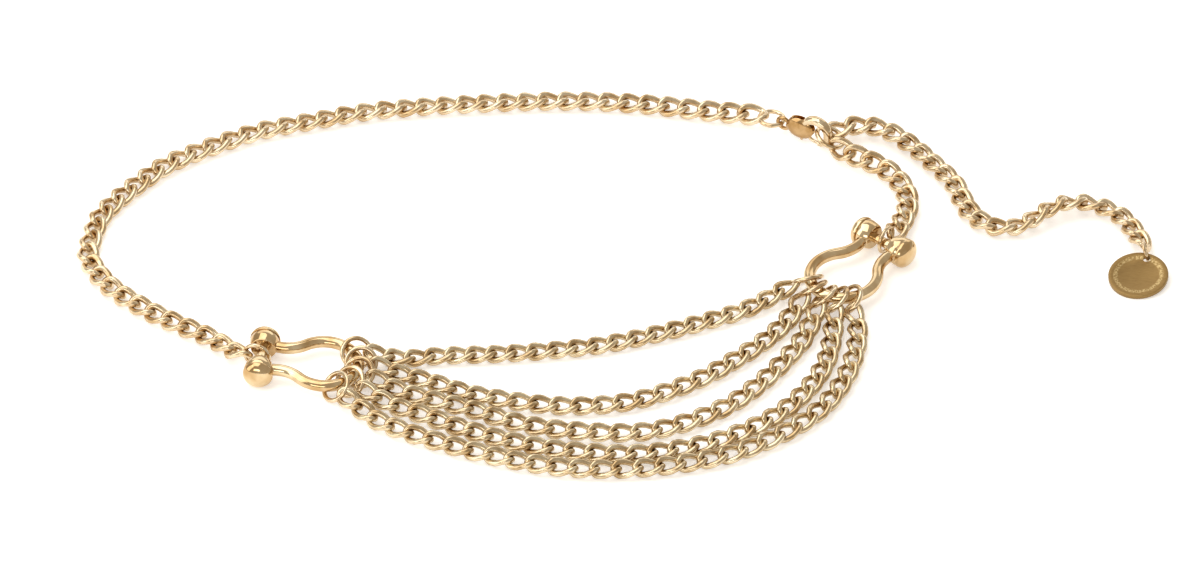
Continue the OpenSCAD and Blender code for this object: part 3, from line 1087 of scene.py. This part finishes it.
    def build(self) -> None:
        """Models the shackle's bow, pin and rings, and dresses them."""
        to_table = Matrix.Scale(MM, 4) @ self.frame()
        bow = joined(
            [self.bend_bow(), self.turn_lug(1), self.turn_lug(-1), self.turn_knob(1)],
            f"{self.side}_shackle_bow",
        )
        pin = joined([self.turn_pin(), self.turn_knob(-1)], f"{self.side}_shackle_pin")
        for piece, node in ((bow, "bow"), (pin, "pin")):
            place_mesh(piece, to_table)
            round_off(piece, angle=35.0)
            finish_piece(piece, SHACKLE_PLATE, [f"{self.side}_{node}"])
        lift = Vector((0.0, 0.0, self.ring_lift))
        hang_rings(
            wire_ring(self.ring_across, self.ring_wire * self.ring_stoutness),
            [ring_place(
                self.ring_at(i) + lift, self.ring_heading(i), self.ring_lean, self.ring_seam
            ) for i in range(len(self.ring_angles))],
            f"{self.side}_bow_rings", [f"{self.side}_rings"],
        )
        hang_rings(
            wire_ring(self.end_ring_across, self.end_ring_wire),
            [ring_place(
                self.end_ring_at(), self.turned + self.end_ring_turn, 90.0, self.end_ring_seam
            )],
            f"{self.side}_pin_ring", [f"{self.side}_end_ring"],
        )


# Clasp and tag


@dataclass(frozen=True)
class LobsterClasp:
    """A lobster clasp that stands on its edge: body, rivet, lever and the rings at its ends.

    Sizes are in millimetres, and turns and angles in degrees.
    """

    eye_at: tuple[float, float, float] = (103.5, 85.6, 4.8)
    turned: float = -30.0
    length: float = 14.0
    # The hook, with its band as packed and as dressed
    hook_across: float = 12.6
    table_gap: float = 0.5
    band: float = 2.1
    dressed_band: float = 2.5
    thick: float = 3.4
    eye_across: float = 4.6
    eye_wire: float = 1.5
    rivet: float = 1.2
    rivet_back: float = 0.6
    rivet_drop: float = 2.7
    rivet_heads: float = 0.5
    # The lever, how far its arm stops short of the gate's two ends, and its play in the body
    lever_thick: float = 1.4
    lever_wide: float = 1.24
    lever_short: tuple[float, float] = (4.0, 5.0)
    lever_inset: float = 0.05
    lever_play: float = 0.15
    lever_eye_wall: float = 0.75
    # Angles round the hook of its gate's ends, and of its own end in the body
    gate: tuple[float, float] = (222.0, 270.0)
    root: float = 182.0
    # Half a cheek's length, height and thickness, and the web between the cheeks
    cheek: tuple[float, float, float] = (6.2, 4.9, 2.4)
    cheek_rise: float = 0.15
    web: tuple[float, float] = (6.4, 4.0)
    web_at: tuple[float, float] = (5.7, 1.4)
    # The lever's tab for the thumb
    tab: tuple[float, float] = (2.6, 1.15)
    tab_out: float = 1.75
    tab_angle: float = -118.0
    # The ring behind the eye
    ring_across: float = 9.0
    ring_wire: float = 1.4
    ring_stoutness: float = 1.2
    ring_lean: float = 174.0
    ring_seam: float = 60.0
    # The ring that the hook holds, with its turns about Z, X and Y
    held_across: float = 10.4
    held_wire: float = 1.5
    held_stoutness: float = 1.15
    held_seam: float = 140.0
    held_turns: tuple[float, float, float] = (43.6, 17.4, 15.9)
    held_aside: float = 4.2
    held_out: float = 0.22
    held_drop: float = 0.87

    @property
    def hook_height(self) -> float:
        """How high the hook's middle is over the table."""
        return self.hook_across / 2 + self.table_gap

    @property
    def rise(self) -> float:
        """How far the hook's middle stands above the eye's."""
        return self.hook_height - self.eye_at[2]

    @property
    def hook_x(self) -> float:
        """How far the hook's middle is from the eye's, along the clasp."""
        return math.hypot(self.length, self.rise)

    @property
    def hub(self) -> Vector:
        """The hook's middle in the clasp's own frame."""
        return Vector((self.hook_x, 0.0, 0.0))

    @property
    def hook_radius(self) -> float:
        """Radius of the hook at the middle of its band."""
        return (self.hook_across - self.band) / 2

    @property
    def rivet_at(self) -> Vector:
        """The rivet's place in the clasp's own frame."""
        return Vector((self.hook_x - self.hook_radius - self.rivet_back, -self.rivet_drop, 0.0))

    def frame(self) -> Matrix:
        """The clasp's own frame: X from eye to hook, Y up across it, Z through it."""
        pitch = math.degrees(math.atan2(self.rise, self.length))
        return (
            shift(*self.eye_at) @ turn(self.turned, Axis.Z) @ turn(-pitch, Axis.Y)
            @ turn(90.0, Axis.X)
        )

    def ring_at(self) -> Vector:
        """The middle of the ring behind the eye."""
        inside = seat(self.ring_across, self.ring_wire, self.eye_wire) + self.eye_across / 2
        return Vector(self.eye_at) - heading(self.turned) * inside

    def held_frame(self) -> Matrix:
        """The place of the ring that the hook holds, which leans across the hook's end.

        Returns:
            The ring's own frame, with its hole along Z.
        """
        hook = Vector(self.eye_at) + heading(self.turned) * self.length
        hook.z = self.hook_height
        out = self.hook_radius + self.held_out
        at = hook + heading(self.turned + self.held_aside) * out
        about_z, about_x, about_y = self.held_turns
        return (
            shift(at.x, at.y, at.z - self.held_drop) @ turn(about_z, Axis.Z)
            @ turn(about_x, Axis.X) @ turn(about_y, Axis.Y)
        )

    def swept(
        self,
        ends: tuple[float, float],
        radius: float,
        section: tuple[float, float],
        parts: tuple[int, int],
    ) -> bpy.types.Object:
        """Sweeps an oval section round the hook's middle.

        Args:
            ends: The angles at which it starts and ends, in degrees.
            radius: How far the section is from the hook's middle.
            section: The section's size through and across the clasp.
            parts: Parts round the section and along the sweep.

        Returns:
            The swept band, open at both ends.
        """
        bpy.ops.mesh.primitive_circle_add(vertices=parts[0], radius=1.0)
        band = bpy.context.object
        across = Matrix.Diagonal((section[0] / 2, section[1] / 2, 1.0, 1.0))
        stand = turn(ends[0] + 90, Axis.Z) @ turn(90.0, Axis.Y)
        place_mesh(
            band, Matrix.Translation(self.hub + heading(ends[0]) * radius) @ stand @ across
        )
        with editing(band):
            pick(band, everything)
            bpy.ops.mesh.spin(
                steps=parts[1], angle=-math.radians(ends[1] - ends[0]), center=self.hub,
                axis=Axis.Z.value,
            )
        return band

    def bend_hook(self) -> bpy.types.Object:
        """Bends the hook: a band of oval section round from the gate to the body's cheeks.

        Returns:
            The hook in the clasp's frame, thinner at its nose.
        """
        hub, nose = self.hub, self.gate[1] + 3
        nose_reach, nose_part = 1.9, 0.82
        crown_foot, crown_steps, broader = -2.4, (-0.6, 0.4, 2.0), 0.93
        start = hub + heading(nose) * self.hook_radius
        band = self.swept(
            (nose, self.root + 360), self.hook_radius, (self.thick, self.dressed_band),
            parts=(20, 44),
        )
        with editing(band):
            pick(band, lambda p: (p - start).length < nose_reach)
            bpy.ops.transform.resize(value=(1.0, 1.0, nose_part), center_override=start)
            # Forged broader towards its crown, on the inside
            for back in crown_steps:
                pick(
                    band,
                    lambda p: (p - hub).to_2d().length < self.hook_radius - 0.05
                    and p.y > crown_foot and p.x - hub.x + p.y > back,
                )
                bpy.ops.transform.resize(value=(broader, broader, 1.0), center_override=hub)
        return tidy_shell(band)

    def forge_body(self) -> bpy.types.Object:
        """Models the pear-shaped body between the eye and the hook, open for the lever.

        Returns:
            The two bulging cheeks and the web between them, in the clasp's frame.
        """
        slot = self.lever_thick / 2 + self.lever_play
        shells = []
        for side in (1, -1):
            bpy.ops.mesh.primitive_uv_sphere_add(segments=48, ring_count=24, radius=1.0)
            cheek = bpy.context.object
            place_mesh(
                cheek,
                shift(self.eye_across / 2 + self.cheek[1], self.cheek_rise, 0.0)
                @ Matrix.Diagonal((*self.cheek, 1.0)),
            )
            with editing(cheek):
                pick(cheek, everything)
                bpy.ops.mesh.bisect(
                    plane_co=(0.0, 0.0, side * slot), plane_no=(0.0, 0.0, side),
                    clear_inner=True, use_fill=True,
                )
                # Drawn in towards the eye, so that it is a pear
                for at, part in ((2.0, 0.55), (3.4, 0.86)):
                    pick(cheek, lambda p: p.x < at)
                    bpy.ops.transform.resize(
                        value=(1.0, part, 1.0), center_override=(0.0, self.cheek_rise, 0.0)
                    )
            ease(cheek, width=0.16, segments=2, angle=55.0)
            shells.append(cheek)
        bpy.ops.mesh.primitive_cube_add(size=1.0)
        web = bpy.context.object
        place_mesh(web, shift(*self.web_at, 0.0) @ Matrix.Diagonal((*self.web, 2 * slot, 1.0)))
        with editing(web):
            pick(web, lambda p: p.x < 5.0)
            bpy.ops.transform.resize(value=(1.0, 0.45, 1.0), center_override=(0.0, 0.3, 0.0))
        ease(web, width=0.1, segments=1)
        return joined([*shells, web], "clasp_cheeks")

    def head_rivet(self) -> bpy.types.Object:
        """Models the rivet with a low domed head on each cheek.

        Returns:
            The rivet in the clasp's frame.
        """
        rivet = rod(parts=24, across=self.rivet, depth=self.thick + self.rivet_heads)
        ease(rivet, width=0.14, segments=3)
        return place_mesh(rivet, Matrix.Translation(self.rivet_at))

    def bend_lever(self) -> bpy.types.Object:
        """Bends the lever: a flat arm along the hook's gate and a tab for the thumb.

        Returns:
            The lever in the clasp's frame.
        """
        ends = (self.gate[0] + self.lever_short[0], self.gate[1] - self.lever_short[1])
        arm = tidy_shell(self.swept(
            ends, self.hook_radius - self.lever_inset, (self.lever_thick, self.lever_wide),
            parts=(12, 12),
        ))
        eye = rod(parts=28, across=self.rivet + 2 * self.lever_eye_wall, depth=self.lever_thick)
        ease(eye, width=0.18, segments=2)
        place_mesh(eye, Matrix.Translation(self.rivet_at))
        bpy.ops.mesh.primitive_cube_add(size=1.0)
        tab = bpy.context.object
        place_mesh(
            tab,
            Matrix.Translation(self.rivet_at) @ turn(self.tab_angle, Axis.Z)
            @ shift(self.tab_out, 0.0, 0.0)
            @ Matrix.Diagonal((*self.tab, self.lever_thick, 1.0)),
        )
        ease(tab, width=0.28, segments=3)
        return joined([arm, eye, tab], "clasp_lever_piece")

    def build(self) -> None:
        """Models the clasp's pieces and dresses them."""
        to_table = Matrix.Scale(MM, 4) @ self.frame()
        eye = wire_ring(self.eye_across, self.eye_wire, around=32, sides=12, open_joint=False)
        body = joined([self.forge_body(), self.head_rivet(), eye], "clasp_body_piece")
        hook = joined([self.bend_hook()], "clasp_hook_piece")
        lever = self.bend_lever()
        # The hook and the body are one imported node, which the body stands for
        for piece, plate, nodes, rides in (
            (body, CLASP_PLATE, ["clasp_body"], Body.CHAIN),
            (hook, RING_PLATE, [], Body.CHAIN),
            (lever, RING_PLATE, ["clasp_lever"], Body.LEVER),
        ):
            place_mesh(piece, to_table)
            round_off(piece, angle=40.0)
            finish_piece(piece, plate, nodes, rides)
        hang_rings(
            wire_ring(self.ring_across, self.ring_wire * self.ring_stoutness),
            [ring_place(self.ring_at(), self.turned, self.ring_lean, self.ring_seam)],
            "clasp_ring_piece", ["clasp_ring"],
        )

    def hang_held_ring(self) -> None:
        """Models the ring on the hook, which the tail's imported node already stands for."""
        hang_rings(
            wire_ring(self.held_across, self.held_wire * self.held_stoutness),
            [self.held_frame() @ turn(self.held_seam, Axis.Z)],
            "hook_ring_piece", [],
        )


@dataclass(frozen=True)
class Tag:
    """The round tag and the ring that it hangs from.

    Sizes are in millimetres, and turns and angles in degrees.
    """

    hole_at: tuple[float, float, float] = (236.12, 10.33, 3.22)
    turned: float = 68.0
    across: float = 22.0
    thick: float = 1.6
    rim: float = 1.6
    rim_height: float = 0.3
    hole: float = 2.8
    edge: float = 1.2
    table_gap: float = 0.07
    recess_slope: float = 0.9
    ring_turn: float = 98.0
    ring_across: float = 7.4
    ring_wire: float = 1.2
    ring_inset: float = 0.1
    ring_rise: float = 1.08
    ring_lean: float = 75.0
    ring_seam: float = 20.0

    def frame(self) -> Matrix:
        """The tag's own frame: its middle, with its hole towards +X and its faces along Z.

        Returns:
            The frame, in millimetres.
        """
        reach = self.across - self.edge - self.hole / 2
        lift = math.asin((self.hole_at[2] - self.thick / 2 - self.table_gap) / reach)
        at = Vector(self.hole_at) - (reach - self.across / 2) * (
            heading(self.turned) * math.cos(lift) + Vector((0.0, 0.0, math.sin(lift)))
        )
        return (
            Matrix.Translation(at) @ turn(self.turned, Axis.Z)
            @ turn(-math.degrees(lift), Axis.Y)
        )

    def ring_at(self) -> Vector:
        """The middle of the tag's ring."""
        out = self.ring_across / 2 - self.ring_inset
        return (
            Vector(self.hole_at) + heading(self.ring_turn) * out
            + Vector((0.0, 0.0, self.ring_rise))
        )

    def stamp(self) -> bpy.types.Object:
        """Stamps the disc: a raised rim round each bare face, eased edges and a pierced hole.

        Returns:
            The tag, in metres.
        """
        disc = rod(parts=128, across=self.across, depth=self.thick)
        with editing(disc):
            pick_faces(disc, lambda f: abs(f.normal.z) > 0.9)
            bpy.ops.mesh.inset(thickness=self.rim, depth=0.0)
            for side in (1, -1):
                pick_faces(
                    disc,
                    lambda f: f.normal.z * side > 0.9
                    and f.calc_center_median().xy.length < self.across / 2 - self.rim,
                )
                bpy.ops.mesh.inset(thickness=self.recess_slope, depth=-self.rim_height)
        ease(disc, width=0.22, segments=3, angle=40.0)
        punch = rod(parts=40, across=self.hole, depth=2 * self.thick)
        place_mesh(punch, shift(self.across / 2 - self.edge - self.hole / 2, 0.0, 0.0))
        apply_modifier(disc, "BOOLEAN", operation="DIFFERENCE", solver="EXACT", object=punch)
        bpy.data.objects.remove(punch)
        disc.name = disc.data.name = "tag_disc"
        return place_mesh(disc, Matrix.Scale(MM, 4) @ self.frame())

    def build(self) -> None:
        """Models the tag and its ring, and dresses them."""
        disc = round_off(self.stamp(), angle=25.0)
        finish_piece(disc, TAG_SATIN, ["tag"])
        hang_rings(
            wire_ring(self.ring_across, self.ring_wire, around=36, sides=12),
            [ring_place(self.ring_at(), self.ring_turn, self.ring_lean, self.ring_seam)],
            "tag_ring_piece", ["tag_ring"],
        )


# The whole chain

LEFT = Shackle(
    side="left",
    pin_at=(-87.0, -47.0),
    turned=-8.0,
    ring_angles=(37.0, 13.0, -12.0, -38.0, -64.0),
    strand_ends=((-36.0, -44.4), (-37.0, -53.5), (-37.0, -63.0), (-40.0, -71.0), (-46.0, -79.0)),
    end_ring_turn=-12.0,
)
RIGHT = Shackle(
    side="right",
    pin_at=(140.0, 17.5),
    turned=231.0,
    ring_angles=(-43.0, -19.0, 7.0, 28.0, 49.0),
    strand_ends=((91.0, -16.0), (105.0, -23.0), (111.0, -33.0), (121.0, -35.0), (130.5, -29.0)),
    end_ring_turn=8.0,
)
CLASP = LobsterClasp()
TAG = Tag()

# The twisted links stand this much higher than the plainer packed ones
CHAIN_LIFT = 0.4
# The strands lie a little rolled, the front ones most, and stand higher for each degree of it
STRAND_ROLLS = (0.0, 9.0, 12.0, 14.0, 15.0)
STRAND_HEIGHT, HEIGHT_PER_ROLL = 2.75, 0.035

# Points along the chains, as x, y, z and roll, in millimetres and degrees
MAIN_ROUTE: tuple[Point, ...] = (
    (-95.6, -43.2, 4.2, 12), (-101, -38, 3.2, 5), (-106.5, -33, 2.8, 0), (-113, -28.8, 2.8, -4),
    (-128, -18.5, 2.8, -6), (-142.5, -4.5, 2.8, -6), (-150, 11, 2.6, -3), (-149, 23, 2.6, 0),
    (-143.5, 39, 2.6, 2), (-124, 62, 2.6, 0), (-106, 74, 2.6, -4), (-88, 83, 2.6, -8),
    (-69.5, 88.5, 2.6, -10), (-46, 94.5, 2.6, -10), (-15, 98, 2.6, -10), (22, 100, 2.6, -5),
    (50, 98.5, 2.6, 2), (77, 93.6, 3.2, 13),
)
SIDE_ROUTE: tuple[Point, ...] = (
    (145.5, 27.5, 3.8, 16), (148.5, 39, 2.7, 8), (148.5, 46, 2.6, 2), (146.5, 52.5, 2.8, -4),
    (142.6, 58.4, 3.4, -10), (137.3, 62.4, 4.3, -20), (131, 65.8, 4.8, -32),
    (124.7, 69.8, 5.1, -44),
)
TAIL_ROUTE: tuple[Point, ...] = (
    (124.7, 82.1, 4.7, -4), (131.4, 84.2, 4.4, 0), (138.4, 83.1, 4, -2),
    (145, 79.2, 3.6, -6), (151, 73.4, 3.1, -10), (157, 66, 2.8, -12), (165, 54.5, 2.7, -10),
    (168.5, 45, 2.6, -6), (172.5, 36, 2.6, 0), (180, 29.5, 2.7, -6), (190, 29.8, 3.0, -16),
    (197, 34.6, 4, -24), (204, 39.2, 4.8, -26), (211.5, 41, 4.2, -22), (217, 40.6, 3.4, -18),
    (222.5, 38.2, 2.8, -14), (228, 33, 2.7, -12), (232, 25, 2.9, -12),
)
# The strands keep one height and roll, so their points are x and y alone
STRAND_ROUTES: tuple[tuple[tuple[float, float], ...], ...] = (
    ((-36, -44.4), (-20, -43), (0, -42), (19, -40), (37, -37), (55, -31.5), (73, -24.5),
     (91, -16)),
    ((-37, -53.5), (-26, -58), (-9, -65.5), (16, -71), (33, -71.5), (48, -69), (62, -63),
     (75, -55), (86, -45.5), (97, -34.5), (105, -23)),
    ((-37, -63), (-27, -67.5), (-11, -73.5), (4, -80.5), (21, -85), (43, -87), (58, -85),
     (72, -79), (85, -70), (95, -59), (104, -46), (111, -33)),
    ((-40, -71), (-29, -76.5), (-15, -84), (0, -90.5), (15, -95), (31, -98), (47, -99),
     (62, -97), (77, -92.5), (90, -85.5), (102, -76), (111, -64.5), (118, -50), (121, -35)),
    ((-46, -79), (-37, -85), (-24, -91.5), (-8, -98), (7, -103), (23, -106.5), (39, -107.5),
     (54, -106.5), (70, -103.5), (85, -98.5), (98, -91), (110, -81.5), (119.5, -70),
     (126, -56), (129.5, -42), (130.5, -29)),
)


def heavy_chain(node: str, route: Sequence[Point]) -> Chain:
    """A stretch of the heavy curb chain along a route.

    Args:
        node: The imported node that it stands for.
        route: Its points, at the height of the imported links.

    Returns:
        The chain, at the height of the twisted links.
    """
    half = (HEAVY_LINK.length - HEAVY_LINK.wire) / 2
    raised = tuple((x, y, z + CHAIN_LIFT, roll) for x, y, z, roll in route)
    return Chain(node, HEAVY_LINK, HEAVY_PITCH, raised, CURB_PLATE, "chain_gold", half)


def end_ring_seat(shackle: Shackle, first: Point) -> Vector:
    """Where a heavy chain that sets out for its first point starts in a shackle's end ring."""
    inside = seat(shackle.end_ring_across, shackle.end_ring_wire, PACKED_WIRE)
    return toward(shackle.end_ring_at(), first, inside)


def main_chain() -> Chain:
    """The long chain round the back of the waist.

    Returns:
        The chain, from the left shackle's end ring to the ring behind the clasp's eye.
    """
    begin = end_ring_seat(LEFT, MAIN_ROUTE[0])
    inside = seat(CLASP.ring_across, CLASP.ring_wire, PACKED_WIRE) - END_INSET
    end = CLASP.ring_at() - heading(CLASP.turned) * inside
    return heavy_chain(
        "main_chain", (rolled(begin, roll=20), *MAIN_ROUTE, rolled(end, roll=26))
    )


def held_seat(angle: float, drop: float) -> Vector:
    """Where a chain's end wire lies in the ring on the hook."""
    inside = seat(CLASP.held_across, CLASP.held_wire, PACKED_WIRE) - END_INSET
    return (
        CLASP.held_frame().to_translation() + heading(angle) * inside - Vector((0.0, 0.0, drop))
    )


def side_chain() -> Chain:
    """The short chain from the right shackle to the ring on the hook.

    Returns:
        The chain, from the shackle's end ring on.
    """
    begin = end_ring_seat(RIGHT, SIDE_ROUTE[0])
    end = held_seat(angle=-80, drop=0.79)
    return heavy_chain(
        "side_chain", (rolled(begin, roll=20), *SIDE_ROUTE, rolled(end, roll=-56))
    )


def tail_chain() -> Chain:
    """The free chain from the ring on the hook to the tag.

    Returns:
        The chain, up to the tag's ring.
    """
    begin = held_seat(angle=92, drop=1.09)
    inside = seat(TAG.ring_across, TAG.ring_wire, PACKED_WIRE) - END_INSET
    end = TAG.ring_at() + heading(TAG.ring_turn) * inside
    return heavy_chain(
        "tail_chain", (rolled(begin, roll=-13), *TAIL_ROUTE, rolled(end, roll=-26))
    )


def strand(i: int) -> Chain:
    """One of the finer strands between the shackles.

    Args:
        i: Which strand, from 0 for the shortest.

    Returns:
        The strand, from its left bow ring to its right one.
    """
    roll = STRAND_ROLLS[i]
    height = STRAND_HEIGHT + HEIGHT_PER_ROLL * roll
    route = [(float(x), float(y), height, roll) for x, y in STRAND_ROUTES[i]]
    first, last = LEFT.strand_seat(i), RIGHT.strand_seat(i)
    return Chain(
        f"strand_{i + 1}", FINE_LINK, FINE_PITCH,
        (rolled(first, roll), *route, rolled(last, roll)),
        STRAND_PLATE, "strand_gold", FINE_HALF, even_count=True,
    )


# Studio


@dataclass(frozen=True)
class SoftBox:
    """A soft studio light."""

    name: str
    at: tuple[float, float, float]
    size: tuple[float, float]
    power: float
    aim: tuple[float, float, float] = (0.04, 0.0, 0.0)

    def hang(self) -> None:
        """Hangs the light and aims it at the chain."""
        data = bpy.data.lights.new(self.name, "AREA")
        data.shape = "RECTANGLE"
        data.size, data.size_y = self.size
        data.energy = self.power
        lamp = bpy.data.objects.new(self.name, data)
        lamp.location = self.at
        way = Vector(self.aim) - Vector(self.at)
        lamp.rotation_mode = "QUATERNION"
        lamp.rotation_quaternion = way.to_track_quat("-Z", "Y")
        bpy.context.collection.objects.link(lamp)


@dataclass(frozen=True)
class Studio:
    """The floor, the lights, the room's own light and the camera."""

    elevation: float = 40.4
    view_width_mm: float = 438.0
    aim_mm: tuple[float, float, float] = (36.5, -1.7, 0.0)
    room: str = "#ACA79F"
    room_strength: float = 1.45
    floor_size: float = 6.0
    camera_back: float = 1.5
    boxes: tuple[SoftBox, ...] = (
        SoftBox("overhead_box", (-0.35, 0.15, 1.1), (1.3, 1.0), 7.5),
        SoftBox("left_box", (-1.15, -0.3, 0.6), (0.8, 1.1), 5.0),
        SoftBox("front_box", (-0.45, -1.3, 0.6), (0.9, 0.4), 3.5),
        SoftBox("back_box", (0.1, 1.4, 0.75), (2.4, 0.8), 6.0),
    )

    def lay_floor(self) -> None:
        """Lays the paper floor."""
        bpy.ops.mesh.primitive_plane_add(size=self.floor_size)
        floor = bpy.context.object
        floor.name = floor.data.name = "studio_floor"
        floor.data.materials.append(StudioPaper().material())

    def light(self) -> None:
        """Hangs the soft boxes and sets the room's own light."""
        for box in self.boxes:
            box.hang()
        world = bpy.data.worlds.new("studio_room")
        world.use_nodes = True
        back = world.node_tree.nodes["Background"]
        back.inputs["Color"].default_value = srgb(self.room)
        back.inputs["Strength"].default_value = self.room_strength
        bpy.context.scene.world = world
        bpy.context.scene.view_settings.view_transform = "Standard"

    def set_camera(self) -> None:
        """Sets a long, level view from the front and above."""
        data = bpy.data.cameras.new("studio_camera")
        data.type = "ORTHO"
        data.ortho_scale = self.view_width_mm * MM
        camera = bpy.data.objects.new("studio_camera", data)
        rise = math.radians(self.elevation)
        back = Vector((0.0, -math.cos(rise), math.sin(rise)))
        camera.location = Vector(self.aim_mm) * MM + back * self.camera_back
        camera.rotation_mode = "QUATERNION"
        camera.rotation_quaternion = (-back).to_track_quat("-Z", "Y")
        bpy.context.collection.objects.link(camera)
        bpy.context.scene.camera = camera


def main() -> None:
    """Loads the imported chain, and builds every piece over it."""
    logging.basicConfig(level=logging.INFO, format="%(name)s: %(message)s")
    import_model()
    studio = Studio()
    studio.set_camera()
    strands = [strand(i) for i in range(len(STRAND_ROUTES))]
    for chain in (main_chain(), side_chain(), tail_chain(), *strands):
        chain.build()
    CLASP.hang_held_ring()
    for shackle in (LEFT, RIGHT):
        shackle.build()
    CLASP.build()
    TAG.build()
    studio.lay_floor()
    studio.light()
    clear_selection()


if __name__ == "__main__":
    main()
